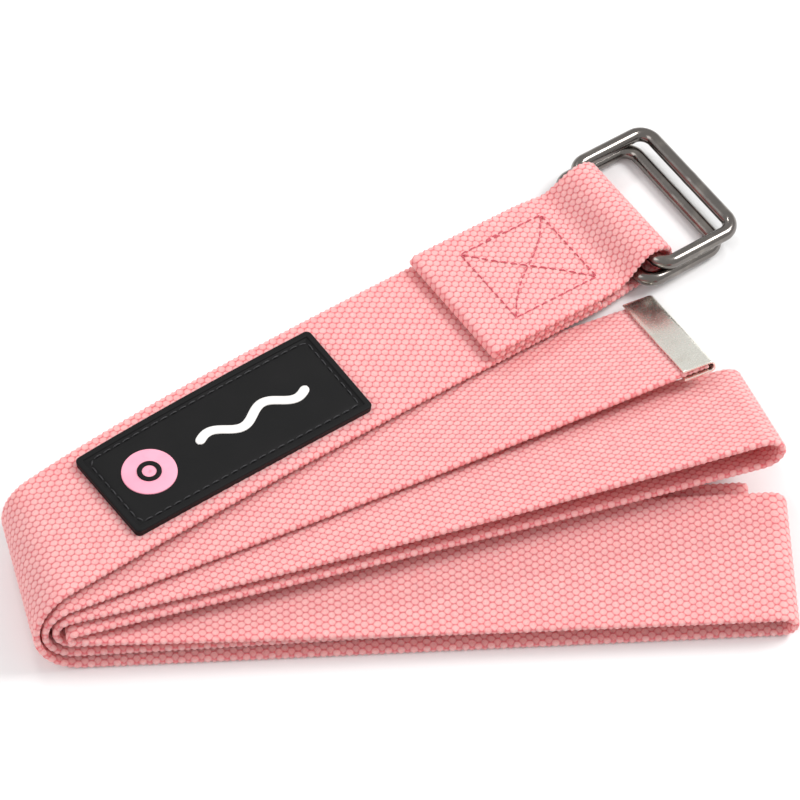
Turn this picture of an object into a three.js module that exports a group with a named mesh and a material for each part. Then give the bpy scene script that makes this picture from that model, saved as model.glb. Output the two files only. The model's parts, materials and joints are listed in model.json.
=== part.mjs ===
// A physiotherapy stretching strap, folded in half three times and laid down as a fan.
// One length of cotton webbing carries everything: its ring end is turned back round two
// wire rings and sewn, its free end is closed by a sheet metal tip, and a moulded rubber
// label is stitched to the top run. Millimetres, +Z up, +X along the top run to the rings.
import * as THREE from "three";

// ---- driving dimensions ----

const WEB_WIDTH = 38;
const WEB_THICK = 2.0;
const LAYER_GAP = 0.3;

const RING_WIRE = 4.0;
const RING_SIDE_CLEAR = 0.8; // from the webbing's edge to the wire
const RING_INNER_ALONG = 21.5;
const RING_CORNER = 4.3; // radius of the wire's centre line
const RING_GAP = 0.3;
const RING_STAGGER = 4.6; // how much deeper the lower bar sits in the loop
const BAR_BACK = 3.5; // from the lower bar to the end of the top run

const HEM_LENGTH = 42; // from the hem's turned edge to where the top layer starts to rise
const HEM_TUCK = 34; // raw end turned under
const LOOP_RISE = 12; // length over which the top layer climbs on to the bars
const LOOP_SQUEEZE = 3.2; // how much narrower the webbing is drawn where it passes the rings
const SQUEEZE_LENGTH = 20; // length over which it narrows

const LABEL_LENGTH = 73.5;
const LABEL_WIDTH = 29.6;
const LABEL_THICK = 1.2;
const LABEL_RIM = 0.4; // height of the border above the panel
const LABEL_RIM_WIDTH = 1.6;
const LABEL_CORNER = 1.5;
const LABEL_FROM_FOLD = 17.5;
const DISC_RADIUS = 7.2;
const DISC_THICK = 0.35;
const DISC_FROM_END = 13.4;
const DOT_OUTER = 3.2;
const DOT_INNER = 1.9;
const MARK_THICK = 0.3;
const WAVE_LENGTH = 34;
const WAVE_HEIGHT = 6.2;
const WAVE_STROKE = 2.6;
const WAVE_PERIODS = 2;
const WAVE_CENTRE = 45.5; // from the label's fold end

const TIP_LENGTH = 9;
const TIP_SHEET = 0.5;
const TIP_OVERHANG = 0.5; // past each edge of the webbing
const WEB_PINCHED = 1.6; // webbing thickness inside the tip

const THREAD = 0.5;
const BOX_LENGTH = 27; // sewn box with a cross in it
const BOX_WIDTH = 25;
const BOX_FROM_EDGE = 10.8;
const LABEL_SEAM_INSET = 2.5;
const FIT = 0.3; // clearance between faces that touch

const SLANT_LENGTH = 25; // length over which the cross lines turn parallel to a slanted fold
const LAYER = WEB_THICK + LAYER_GAP;
const LOOP_WIDTH = WEB_WIDTH - LOOP_SQUEEZE;
const RING_INNER_ACROSS = LOOP_WIDTH + 2 * RING_SIDE_CLEAR;

// ---- the folded route ----
// Each run lies between the left stack, where all eight are piled up, and the right.
// heading is its direction seen from above, in degrees from the top run, for a webbing as
// wide as FAN_WIDTH. near and far are the heights of its two edges, in layers, from the
// left stack to the right: four control heights of a cubic curve.

const FAN_WIDTH = 38;
const FLAT_1 = [0.435, 0.435, 0.435, 0.435];
const FLAT_2 = [1.44, 1.44, 1.44, 1.44];
const FLAT_3 = [2.45, 2.45, 2.45, 2.45];
const RUNS = {
  ring: { heading: 0, length: 181.5, near: [10.1, 8.2, 4.7, 0.435], far: [7.6, 9.2, 4.5, 0.435] },
  tip: { heading: -11.9, length: 167.8, near: [8.7, 7.8, 7.4, 7.9], far: [6.5, 5.0, 1.5, 0.85] },
  shortTop: { heading: -21.5, length: 181, near: [7.4, 7.4, 8.9, 11.4], far: [5.45, 4.4, 3.2, 4.2] },
  shortBottom: { heading: -20.8, length: 181, near: [6.1, 6.4, 6.2, 6.9], far: [4.45, 3.7, 2.3, 0.45] },
  outerTop: { heading: -33.3, length: 182, near: [4.7, 3.5, 3.45, 3.6], far: [3.45, 3.45, 3.5, 3.8] },
  innerTop: { heading: -32.1, length: 176, near: [3.25, 2.45, 2.45, 2.45], far: FLAT_3 },
  innerBottom: { heading: -31.8, length: 177, near: [1.83, 1.44, 1.44, 1.44], far: FLAT_2 },
  outerBottom: { heading: -33, length: 183.5, near: FLAT_1, far: FLAT_1 },
};

// A wider webbing is fanned out further.
for (const run of Object.values(RUNS)) {
  run.heading *= WEB_WIDTH / FAN_WIDTH;
}

// The order in which the webbing passes through the runs after its loop, and the end of
// each run where it folds over into the next.
const ROUTE = [
  ["ring", "left"],
  ["outerBottom", "right"],
  ["outerTop", "left"],
  ["shortBottom", "right"],
  ["shortTop", "left"],
  ["innerTop", "right"],
  ["innerBottom", "left"],
  ["tip", null],
];

// Unit vectors seen from above: along a heading, and across it towards the far edge.
function along(heading) {
  const angle = THREE.MathUtils.degToRad(heading);
  return new THREE.Vector2(Math.cos(angle), Math.sin(angle));
}

function across(heading) {
  return along(heading + 90);
}

// Height of an edge at the fraction s of its run.
function edgeHeight([a, b, c, d], s) {
  const t = 1 - s;
  return LAYER * (a * t ** 3 + 3 * b * t * t * s + 3 * c * t * s * s + d * s ** 3);
}

function smooth(t) {
  const s = THREE.MathUtils.clamp(t, 0, 1);
  return s * s * (3 - 2 * s);
}

// A cross line of the webbing: its middle seen from above, the direction of its far end,
// the heights of its two ends, its own length, and how far its far end is ahead of its
// near end along `ahead`.
function crossLine(middle, direction, nearZ, farZ, length, ahead, lead) {
  const flat = Math.sqrt(length ** 2 - (farZ - nearZ) ** 2 - lead ** 2);
  const half = direction.clone().multiplyScalar(flat / 2).addScaledVector(ahead, lead / 2);
  return {
    near: new THREE.Vector3(middle.x - half.x, middle.y - half.y, nearZ),
    far: new THREE.Vector3(middle.x + half.x, middle.y + half.y, farZ),
  };
}

// What a fold needs: the direction of its axis, its slant to the runs, the direction it
// bulges in, and how fast it carries the webbing along its axis.
function foldShape(from, to, side) {
  const sign = side === "left" ? -1 : 1;
  const middle = (from.heading + to.heading) / 2;
  const slant = THREE.MathUtils.degToRad((from.heading - to.heading) / 2);
  const axis = across(middle);
  return {
    axis,
    slant,
    bulge: along(middle).multiplyScalar(sign),
    drift: (sign * along(from.heading).dot(axis)) / Math.cos(slant),
    at: side === "left" ? 0 : 1,
  };
}

function endHeights(run, at) {
  return { near: edgeHeight(run.near, at), far: edgeHeight(run.far, at) };
}

// Radius of a fold in the middle of the webbing: half the height between its two runs.
function foldRadius(from, to, at) {
  const a = endHeights(from, at);
  const b = endHeights(to, at);
  return Math.abs(a.near + a.far - b.near - b.far) / 4;
}

// Chain the runs together: the middle of each run's left end, seen from above.
function placeRuns() {
  RUNS.ring.start = new THREE.Vector2(0, 0);
  for (let i = 0; i + 1 < ROUTE.length; i++) {
    const [name, side] = ROUTE[i];
    const from = RUNS[name];
    const to = RUNS[ROUTE[i + 1][0]];
    const { axis, drift, at } = foldShape(from, to, side);
    const shift = axis.clone().multiplyScalar(drift * Math.PI * foldRadius(from, to, at));
    const meet = from.start.clone().addScaledVector(along(from.heading), from.length * at).add(shift);
    to.start = meet.addScaledVector(along(to.heading), -to.length * at);
  }
}

// Width of the webbing at x along the top run, which is drawn in between the rings' sides.
function widthAt(run, x) {
  const from = RUNS.ring.length - SQUEEZE_LENGTH;
  return run === RUNS.ring ? WEB_WIDTH - LOOP_SQUEEZE * smooth((x - from) / SQUEEZE_LENGTH) : WEB_WIDTH;
}

// Cross lines of a run, from one end to the other. Close to a fold they turn parallel to
// the fold's axis.
function runLines(run, before, after, leftwards, steps) {
  const lines = [];
  const turnLeft = (leftwards ? after : before) ?? 0;
  const turnRight = (leftwards ? before : after) ?? 0;
  for (let i = 0; i <= steps; i++) {
    const s = leftwards ? 1 - i / steps : i / steps;
    const x = s * run.length;
    const turn =
      turnLeft * (1 - smooth(x / SLANT_LENGTH)) + turnRight * (1 - smooth((run.length - x) / SLANT_LENGTH));
    const length = widthAt(run, x) / Math.cos(THREE.MathUtils.degToRad(turn));
    const middle = run.start.clone().addScaledVector(along(run.heading), x);
    const { near, far } = endHeights(run, s);
    lines.push(crossLine(middle, across(run.heading + turn), near, far, length, along(run.heading), 0));
  }
  return lines;
}

// Cross lines round a fold, without its first and last, which belong to the runs.
function foldLines(from, to, side, steps) {
  const { axis, slant, bulge, drift, at } = foldShape(from, to, side);
  const a = endHeights(from, at);
  const b = endHeights(to, at);
  const start = from.start.clone().addScaledVector(along(from.heading), from.length * at);
  const middleRadius = foldRadius(from, to, at);
  const lines = [];
  for (let i = 1; i < steps; i++) {
    const turn = (Math.PI * i) / steps;
    const nearRadius = Math.abs(a.near - b.near) / 2;
    const farRadius = Math.abs(a.far - b.far) / 2;
    const out = Math.sin(turn);
    const middle = start.clone().addScaledVector(axis, drift * middleRadius * turn);
    middle.addScaledVector(bulge, ((nearRadius + farRadius) / 2) * out);
    const nearZ = (a.near + b.near) / 2 + ((a.near - b.near) / 2) * Math.cos(turn);
    const farZ = (a.far + b.far) / 2 + ((a.far - b.far) / 2) * Math.cos(turn);
    const lead = (farRadius - nearRadius) * out;
    lines.push(crossLine(middle, axis, nearZ, farZ, WEB_WIDTH / Math.cos(slant), bulge, lead));
  }
  return lines;
}

// ---- rings ----
// Both rings lie parallel. The far side of the lower one rests on the ground, which gives
// their tilt, and the upper one lies on it, a little further out.

const RING_REACH = RING_INNER_ALONG + RING_WIRE;
const RING_PITCH = RING_WIRE + RING_GAP;
const BAR_CLEAR = RING_WIRE / 2 + RING_GAP + WEB_THICK / 2;

// The higher edge of the top run's middle surface at a distance along it.
function topRunHeight(x) {
  const { near, far } = endHeights(RUNS.ring, Math.min(x / RUNS.ring.length, 1));
  return Math.max(near, far);
}

const LOWER_BAR_X = RUNS.ring.length - BAR_BACK;
const LOWER_BAR = topRunHeight(LOWER_BAR_X - BAR_CLEAR / 2) + BAR_CLEAR;
const RING_TILT = Math.asin((LOWER_BAR - RING_WIRE / 2) / RING_REACH);
const UPPER_BAR_X = LOWER_BAR_X + RING_STAGGER * Math.cos(RING_TILT) + RING_PITCH * Math.sin(RING_TILT);
const UPPER_BAR = LOWER_BAR + RING_PITCH * Math.cos(RING_TILT) - RING_STAGGER * Math.sin(RING_TILT);

// The ends of the bars already bend away a little under the edges of the webbing. The loop
// ends in a half circle that leaves the upper bar's bends room to turn right round.
const BAR_STRAIGHT = (RING_INNER_ACROSS + RING_WIRE) / 2 - RING_CORNER;
const INNER_CORNER = RING_CORNER - RING_WIRE / 2;
const BENT_PART = Math.max(LOOP_WIDTH / 2 - BAR_STRAIGHT, 0);
const BAR_BEND = INNER_CORNER - Math.sqrt(INNER_CORNER ** 2 - BENT_PART ** 2);
const LOOP_CLEAR = BAR_BEND + FIT;
const LOOP_HEIGHT = UPPER_BAR + BAR_CLEAR + LOOP_CLEAR - topRunHeight(UPPER_BAR_X);
const LOOP_RADIUS = LOOP_HEIGHT / 2;
const BAR_OFF_CENTRE = LOOP_RADIUS - BAR_CLEAR - BAR_BEND;
const LOOP_X = UPPER_BAR_X - Math.sqrt(BAR_OFF_CENTRE ** 2 - (BAR_OFF_CENTRE - FIT) ** 2);

// ---- hem and loop ----
// Distance along the top run and height above it of the webbing's middle surface, from the
// raw end, round the hem's turned edge, over the bars and back to the run.
function hemProfile() {
  const edge = LOOP_X - LOOP_RISE - HEM_LENGTH + LAYER / 2;
  const points = [];
  const straight = (x0, x1, height, steps) => {
    for (let i = 0; i <= steps; i++) {
      points.push([x0 + ((x1 - x0) * i) / steps, height]);
    }
  };
  const TURN_STEPS = 8;
  straight(edge + HEM_TUCK, edge, LAYER, 4);
  for (let i = 1; i < TURN_STEPS; i++) {
    const turn = (Math.PI * i) / TURN_STEPS;
    points.push([edge - (LAYER / 2) * Math.sin(turn), LAYER * (1.5 - Math.cos(turn) / 2)]);
  }
  straight(edge, edge + HEM_LENGTH - LAYER / 2, 2 * LAYER, 5);
  const RISE_STEPS = 10;
  for (let i = 1; i <= RISE_STEPS; i++) {
    const s = i / RISE_STEPS;
    const height = 2 * LAYER + (LOOP_HEIGHT - 2 * LAYER) * smooth(s);
    points.push([LOOP_X - LOOP_RISE * (1 - s), height]);
  }
  const LOOP_STEPS = 14;
  for (let i = 1; i < LOOP_STEPS; i++) {
    const turn = (Math.PI * i) / LOOP_STEPS;
    points.push([LOOP_X + LOOP_RADIUS * Math.sin(turn), LOOP_RADIUS * (1 + Math.cos(turn))]);
  }
  return points;
}

function hemLines() {
  const run = RUNS.ring;
  return hemProfile().map(([x, height]) => {
    const { near, far } = endHeights(run, Math.min(x / run.length, 1));
    const middle = run.start.clone().addScaledVector(along(run.heading), x);
    const direction = across(run.heading);
    return crossLine(middle, direction, near + height, far + height, widthAt(run, x), along(run.heading), 0);
  });
}

// The last of the webbing is flat inside the tip, pinched by it.
const TIP_LINES = 4;

function tipLines(before) {
  const ahead = unitStep(middleOf(before[before.length - 2]), middleOf(before[before.length - 1]));
  const last = before[before.length - 1];
  const move = (distance) => ({
    near: last.near.clone().addScaledVector(ahead, distance),
    far: last.far.clone().addScaledVector(ahead, distance),
  });
  const inside = TIP_LENGTH - TIP_SHEET - FIT;
  return [move(FIT), move(2 * FIT), move(2 * FIT + inside / 2), move(2 * FIT + inside)];
}

function webbingLines() {
  const RUN_STEPS = 24;
  const FOLD_STEPS = 10;
  const lines = hemLines();
  for (let i = 0; i < ROUTE.length; i++) {
    const [name, side] = ROUTE[i];
    const run = RUNS[name];
    const previous = i > 0 ? RUNS[ROUTE[i - 1][0]] : null;
    const next = i + 1 < ROUTE.length ? RUNS[ROUTE[i + 1][0]] : null;
    const before = previous ? (previous.heading - run.heading) / 2 : null;
    const after = next ? (next.heading - run.heading) / 2 : null;
    lines.push(...runLines(run, before, after, side === "left", RUN_STEPS));
    if (next) {
      lines.push(...foldLines(run, next, side, FOLD_STEPS));
    }
  }
  lines.push(...tipLines(lines));
  return lines;
}

// ---- closed solids from rows of points ----

// A skin over rows of equally many points. It is closed by a cap at each end, or, when
// joined is true, by joining the last row to the first.
function skin(rows, joined = false) {
  const count = rows[0].length;
  const points = rows.flat();
  const faces = [];
  const last = joined ? rows.length : rows.length - 1;
  for (let i = 0; i < last; i++) {
    const here = i * count;
    const there = ((i + 1) % rows.length) * count;
    for (let j = 0; j < count; j++) {
      const k = (j + 1) % count;
      faces.push([here + j, here + k, there + k], [here + j, there + k, there + j]);
    }
  }
  if (!joined) {
    const end = (rows.length - 1) * count;
    for (let j = 1; j + 1 < count; j++) {
      faces.push([0, j + 1, j], [end, end + j, end + j + 1]);
    }
  }
  return facingOut(points, faces);
}

// Geometry from points and triangles, turned inside out if its volume is negative.
function facingOut(points, faces) {
  let volume = 0;
  for (const [a, b, c] of faces) {
    volume += points[a].dot(points[b].clone().cross(points[c]));
  }
  const order = volume < 0 ? faces.map(([a, b, c]) => [a, c, b]) : faces;
  const geometry = new THREE.BufferGeometry().setFromPoints(points);
  geometry.setIndex(order.flat());
  geometry.computeVertexNormals();
  return geometry;
}

function unitStep(from, to) {
  return to.clone().sub(from).normalize();
}

// The direction in which an edge runs at line i, midway between the steps on both sides.
function edgeDirection(lines, i, edge) {
  const here = lines[i][edge];
  const sum = new THREE.Vector3();
  if (i > 0) {
    sum.add(unitStep(lines[i - 1][edge], here));
  }
  if (i + 1 < lines.length) {
    sum.add(unitStep(here, lines[i + 1][edge]));
  }
  return sum.normalize();
}

function middleOf(line) {
  return line.near.clone().add(line.far).multiplyScalar(0.5);
}

function webbingGeometry(lines) {
  const rows = lines.map((line, i) => {
    const ruling = unitStep(line.near, line.far);
    const half = (i > lines.length - TIP_LINES ? WEB_PINCHED : WEB_THICK) / 2;
    const row = [];
    for (const [edge, side] of [["near", -1], ["near", 1], ["far", 1], ["far", -1]]) {
      const normal = edgeDirection(lines, i, edge).cross(ruling).normalize();
      row.push(line[edge].clone().addScaledVector(normal, side * half));
    }
    return row;
  });
  return skin(rows);
}

// A wire of round section along a closed flat path of [x, y] points.
function closedWire(path, diameter, sides) {
  const rows = path.map(([x, y], i) => {
    const [px, py] = path[(i + path.length - 1) % path.length];
    const [nx, ny] = path[(i + 1) % path.length];
    const outwards = new THREE.Vector3(ny - py, px - nx, 0).normalize();
    return Array.from({ length: sides }, (_, j) => {
      const angle = (2 * Math.PI * j) / sides;
      const point = new THREE.Vector3(x, y, (diameter / 2) * Math.sin(angle));
      return point.addScaledVector(outwards, (diameter / 2) * Math.cos(angle));
    });
  });
  return skin(rows, true);
}

// A rectangle with round corners, as a closed path round its centre.
function roundedRectangle(length, width, radius, cornerSteps) {
  const path = [];
  for (let corner = 0; corner < 4; corner++) {
    const sx = corner === 0 || corner === 3 ? 1 : -1;
    const sy = corner < 2 ? 1 : -1;
    for (let i = 0; i <= cornerSteps; i++) {
      const angle = (Math.PI / 2) * (corner + i / cornerSteps);
      const x = sx * (length / 2 - radius) + radius * Math.cos(angle);
      const y = sy * (width / 2 - radius) + radius * Math.sin(angle);
      path.push([x, y]);
    }
  }
  return path;
}

// ---- things laid on the webbing ----

// The point at x along a run, y across it and `height` above the webbing's middle surface.
function onRun(run, x, y, height) {
  const place = (distance, offset) => {
    const { near, far } = endHeights(run, THREE.MathUtils.clamp(distance / run.length, 0, 1));
    const middle = run.start.clone().addScaledVector(along(run.heading), distance);
    const line = crossLine(middle, across(run.heading), near, far, WEB_WIDTH, along(run.heading), 0);
    return line.near.lerp(line.far, 0.5 + offset / WEB_WIDTH);
  };
  const PROBE = 0.5;
  const here = place(x, y);
  const forwards = place(x + PROBE, y).sub(place(x - PROBE, y));
  const sideways = place(x, y + PROBE).sub(place(x, y - PROBE));
  const normal = forwards.cross(sideways).normalize();
  return here.addScaledVector(normal, height);
}

// Bend a flat geometry over a run: its x and y are measured along and across the run, and
// its z from the middle surface of the webbing.
function layOn(run, flat) {
  const position = flat.getAttribute("position");
  for (let i = 0; i < position.count; i++) {
    const point = onRun(run, position.getX(i), position.getY(i), position.getZ(i));
    position.setXYZ(i, point.x, point.y, point.z);
  }
  flat.computeVertexNormals();
  return flat;
}

// A plate between two heights over a grid of x and y lines, its top height given by top().
function plate(xs, ys, bottom, top) {
  const rows = xs.map((x) => {
    const row = ys.map((y) => new THREE.Vector3(x, y, top(x, y)));
    const under = ys.map((y) => new THREE.Vector3(x, y, bottom));
    return row.concat(under.reverse());
  });
  const count = rows[0].length;
  const faces = [];
  for (let i = 0; i + 1 < rows.length; i++) {
    for (let j = 0; j < count; j++) {
      const a = i * count + j;
      const b = i * count + ((j + 1) % count);
      faces.push([a, b, b + count], [a, b + count, a + count]);
    }
  }
  for (const [start, flip] of [[0, false], [(rows.length - 1) * count, true]]) {
    for (let j = 0; j + 1 < ys.length; j++) {
      const a = start + j;
      const b = start + j + 1;
      const c = start + count - 1 - j;
      const d = start + count - 2 - j;
      const pair = [[a, c, b], [b, c, d]];
      faces.push(...(flip ? pair.map(([p, q, r]) => [p, r, q]) : pair));
    }
  }
  return facingOut(rows.flat(), faces);
}

const WEB_TOP = WEB_THICK / 2;
const PANEL_BOTTOM = WEB_TOP + FIT;
const PANEL_TOP = PANEL_BOTTOM + LABEL_THICK;

function spread(from, to, steps) {
  return Array.from({ length: steps + 1 }, (_, i) => from + ((to - from) * i) / steps);
}

function labelGeometry() {
  const STEP = 0.15; // width of the slope from the panel to its border
  const inner = LABEL_RIM_WIDTH + STEP;
  const end = LABEL_FROM_FOLD + LABEL_LENGTH;
  const half = LABEL_WIDTH / 2;
  const xs = [LABEL_FROM_FOLD, LABEL_FROM_FOLD + LABEL_RIM_WIDTH];
  xs.push(...spread(LABEL_FROM_FOLD + inner, end - inner, 12), end - LABEL_RIM_WIDTH, end);
  const ys = [-half, -half + LABEL_RIM_WIDTH, -half + inner, half - inner, half - LABEL_RIM_WIDTH, half];
  return plate(xs, ys, PANEL_BOTTOM, (x, y) => {
    const fromSide = Math.min(x - LABEL_FROM_FOLD, end - x, y + half, half - y);
    return PANEL_TOP + (fromSide < inner - STEP / 2 ? LABEL_RIM : 0);
  });
}

// A flat disc or washer on the label, turned from a closed profile.
function washerGeometry(inner, outer, bottom, thick, x) {
  const SIDES = 40;
  const profile = [
    new THREE.Vector2(inner, 0),
    new THREE.Vector2(outer, 0),
    new THREE.Vector2(outer, thick),
    new THREE.Vector2(inner, thick),
  ];
  const rows = Array.from({ length: SIDES }, (_, i) => {
    const angle = (2 * Math.PI * i) / SIDES;
    const turned = (p) => new THREE.Vector3(x + p.x * Math.cos(angle), p.x * Math.sin(angle), bottom + p.y);
    return profile.map(turned);
  });
  return skin(rows, true);
}

function discGeometry(outer, bottom, thick, x) {
  const flat = new THREE.CylinderGeometry(outer, outer, thick, 40);
  flat.rotateX(Math.PI / 2);
  flat.translate(x, 0, bottom + thick / 2);
  return flat;
}

// A wavy stroke of even width with square ends.
function waveGeometry(bottom, x) {
  const STEPS = 40;
  const amplitude = (WAVE_HEIGHT - WAVE_STROKE) / 2;
  const turns = (2 * Math.PI * WAVE_PERIODS) / WAVE_LENGTH;
  const rows = spread(-WAVE_LENGTH / 2, WAVE_LENGTH / 2, STEPS).map((distance) => {
    const middle = amplitude * Math.sin(turns * distance);
    const slope = Math.atan(amplitude * turns * Math.cos(turns * distance));
    const offset = [(-WAVE_STROKE / 2) * Math.sin(slope), (WAVE_STROKE / 2) * Math.cos(slope)];
    return [[-1, 0], [1, 0], [1, 1], [-1, 1]].map(([side, level]) => {
      const px = x + distance + side * offset[0];
      const py = middle + side * offset[1];
      return new THREE.Vector3(px, py, bottom + level * MARK_THICK);
    });
  });
  return skin(rows);
}

function labelThreadGeometry() {
  const inset = 2 * LABEL_SEAM_INSET;
  const path = roundedRectangle(LABEL_LENGTH - inset, LABEL_WIDTH - inset, LABEL_CORNER, 3);
  const dense = [];
  path.forEach(([x, y], i) => {
    const [nx, ny] = path[(i + 1) % path.length];
    const parts = Math.max(1, Math.round(Math.hypot(nx - x, ny - y) / 6));
    for (let k = 0; k < parts; k++) {
      dense.push([x + ((nx - x) * k) / parts, y + ((ny - y) * k) / parts]);
    }
  });
  const wire = closedWire(dense, THREAD, 6);
  return wire.translate(LABEL_FROM_FOLD + LABEL_LENGTH / 2, 0, PANEL_TOP + FIT + THREAD / 2);
}

// The sewn box with its cross: a flat lattice of thread, so a rectangle with four
// triangular holes.
function hemThreadGeometry() {
  const start = LOOP_X - LOOP_RISE - HEM_LENGTH + BOX_FROM_EDGE;
  const box = new THREE.Shape([
    new THREE.Vector2(0, -BOX_WIDTH / 2),
    new THREE.Vector2(BOX_LENGTH, -BOX_WIDTH / 2),
    new THREE.Vector2(BOX_LENGTH, BOX_WIDTH / 2),
    new THREE.Vector2(0, BOX_WIDTH / 2),
  ]);
  const centre = new THREE.Vector2(BOX_LENGTH / 2, 0);
  const corners = box.getPoints(1);
  corners.slice(0, 4).forEach((corner, i) => {
    const next = corners[(i + 1) % 4];
    const outer = corner.clone().add(next).multiplyScalar(0.5);
    const middle = outer.clone().add(centre).multiplyScalar(0.5);
    const shrink = 1 - (3 * THREAD) / BOX_WIDTH;
    const hole = [corner, next, centre].map((p) => p.clone().lerp(middle, 1 - shrink ** 2));
    box.holes.push(new THREE.Path(hole));
  });
  const lattice = new THREE.ExtrudeGeometry(box, { depth: THREAD, bevelEnabled: false });
  return lattice.translate(start, 0, 2 * LAYER + WEB_TOP + FIT);
}

// ---- the metal tip ----
// A strip of sheet bent round the end of the webbing, open at both edges and towards it.
function tipGeometry() {
  const inside = WEB_PINCHED / 2 + FIT;
  const outside = inside + TIP_SHEET;
  const BEND_STEPS = 8;
  const arc = (radius) =>
    Array.from({ length: BEND_STEPS + 1 }, (_, i) => {
      const angle = Math.PI * (i / BEND_STEPS - 0.5);
      return new THREE.Vector2(radius * Math.cos(angle), radius * Math.sin(angle));
    });
  const reach = TIP_LENGTH - outside;
  const outline = [
    new THREE.Vector2(-reach, -inside),
    new THREE.Vector2(-reach, -outside),
    ...arc(outside),
    new THREE.Vector2(-reach, outside),
    new THREE.Vector2(-reach, inside),
    ...arc(inside).reverse(),
  ];
  const width = WEB_WIDTH + 2 * TIP_OVERHANG;
  const strip = new THREE.ExtrudeGeometry(new THREE.Shape(outline), { depth: width, bevelEnabled: false });
  return strip.translate(FIT, 0, -width / 2);
}

// ---- assembly ----

placeRuns();
const lines = webbingLines();

function piece(name, geometry, color, roughness, metalness) {
  const material = new THREE.MeshStandardMaterial({ color, roughness, metalness });
  const mesh = new THREE.Mesh(geometry, material);
  mesh.name = name;
  return mesh;
}

const strap = new THREE.Group();
strap.add(piece("webbing_strap", webbingGeometry(lines), 0xf6bcb8, 0.9, 0));

const ringPath = roundedRectangle(RING_REACH, RING_INNER_ACROSS + RING_WIRE, RING_CORNER, 5);
const bars = [["ring_lower", LOWER_BAR_X, LOWER_BAR], ["ring_upper", UPPER_BAR_X, UPPER_BAR]];
for (const [name, x, z] of bars) {
  const ring = piece(name, closedWire(ringPath, RING_WIRE, 12), 0x4a4a4e, 0.2, 1);
  ring.geometry.translate(RING_REACH / 2, 0, 0);
  ring.rotation.y = RING_TILT;
  ring.position.set(x, 0, z);
  strap.add(ring);
}

// The tip's own axes: x ahead of the webbing's end, y through its thickness, z across it.
const end = lines[lines.length - 1];
const tipAcross = unitStep(end.near, end.far);
const tipUp = edgeDirection(lines, lines.length - 1, "near").cross(tipAcross).normalize();
const tipAhead = tipAcross.clone().cross(tipUp);
const tipPlace = new THREE.Matrix4().makeBasis(tipAhead, tipUp, tipAcross.clone().negate());
tipPlace.setPosition(middleOf(end));
strap.add(piece("end_tip", tipGeometry().applyMatrix4(tipPlace), 0xd8d6ce, 0.15, 1));

const discX = LABEL_FROM_FOLD + DISC_FROM_END;
const discBottom = PANEL_TOP + FIT;
const dotBottom = discBottom + DISC_THICK + FIT;
const labelPieces = [
  ["label_base", labelGeometry(), 0x232323, 0.6],
  ["label_disc", discGeometry(DISC_RADIUS, discBottom, DISC_THICK, discX), 0xfeb1c5, 0.55],
  ["label_dot", washerGeometry(DOT_INNER, DOT_OUTER, dotBottom, MARK_THICK, discX), 0x232323, 0.6],
  ["label_wave", waveGeometry(discBottom, LABEL_FROM_FOLD + WAVE_CENTRE), 0xf4f1ee, 0.5],
  ["label_stitching", labelThreadGeometry(), 0x1a1a1a, 0.8],
  ["hem_stitching", hemThreadGeometry(), 0xd9788a, 0.8],
];
for (const [name, geometry, color, roughness] of labelPieces) {
  strap.add(piece(name, layOn(RUNS.ring, geometry), color, roughness, 0));
}

// Stand the strap on the origin: the middle of its outline seen from above, on the ground.
const bounds = new THREE.Box3().setFromObject(strap, true);
const centre = bounds.getCenter(new THREE.Vector3());
strap.position.set(-centre.x, -centre.y, -bounds.min.z);

export default strap;
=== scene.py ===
import json
import math

import bpy
import numpy as np
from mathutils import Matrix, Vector


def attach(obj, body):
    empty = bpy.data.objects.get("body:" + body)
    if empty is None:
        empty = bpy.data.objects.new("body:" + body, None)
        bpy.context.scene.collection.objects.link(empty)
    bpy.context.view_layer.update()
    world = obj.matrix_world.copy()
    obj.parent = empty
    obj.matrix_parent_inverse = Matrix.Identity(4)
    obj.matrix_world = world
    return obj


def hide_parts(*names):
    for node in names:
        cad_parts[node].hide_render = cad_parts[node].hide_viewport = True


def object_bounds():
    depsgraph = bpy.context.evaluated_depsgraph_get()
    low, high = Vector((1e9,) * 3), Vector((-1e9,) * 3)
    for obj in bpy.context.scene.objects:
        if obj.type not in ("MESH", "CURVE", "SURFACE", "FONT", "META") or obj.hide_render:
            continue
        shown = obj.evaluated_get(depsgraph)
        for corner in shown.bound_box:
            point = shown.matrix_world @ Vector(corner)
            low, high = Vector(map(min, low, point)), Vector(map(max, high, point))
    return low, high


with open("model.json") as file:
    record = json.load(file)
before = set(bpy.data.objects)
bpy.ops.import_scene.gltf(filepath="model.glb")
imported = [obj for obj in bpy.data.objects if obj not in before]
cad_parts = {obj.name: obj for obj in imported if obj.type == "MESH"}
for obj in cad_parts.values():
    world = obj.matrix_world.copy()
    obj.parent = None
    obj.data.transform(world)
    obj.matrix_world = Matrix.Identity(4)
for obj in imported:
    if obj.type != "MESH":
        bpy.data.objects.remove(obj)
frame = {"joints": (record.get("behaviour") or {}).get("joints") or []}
cad_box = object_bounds()
joints = {joint["name"]: joint for joint in frame["joints"]}


# ---- the two rings ----
# Rounded rectangles of round steel wire, butt welded in the middle of the far bar and
# plated black nickel. Both hang in the loop of the webbing, and one lies on the other.

WIRE = 0.004
INNER_ALONG = 0.0215
INNER_ACROSS = 0.0364
CORNER = 0.0043  # radius of the wire's centre line
WELD_SWELL = 0.00006
WELD_LENGTH = 0.0009
WIRE_SIDES = 36
CORNER_STEPS = 14

ring_reach = INNER_ALONG + WIRE
lower_bar = np.array(joints["lower_ring_swing"]["pos_m"])
upper_bar = np.array(joints["upper_ring_swing"]["pos_m"])
ring_tilt = math.asin((lower_bar[2] - WIRE / 2) / ring_reach)


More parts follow.
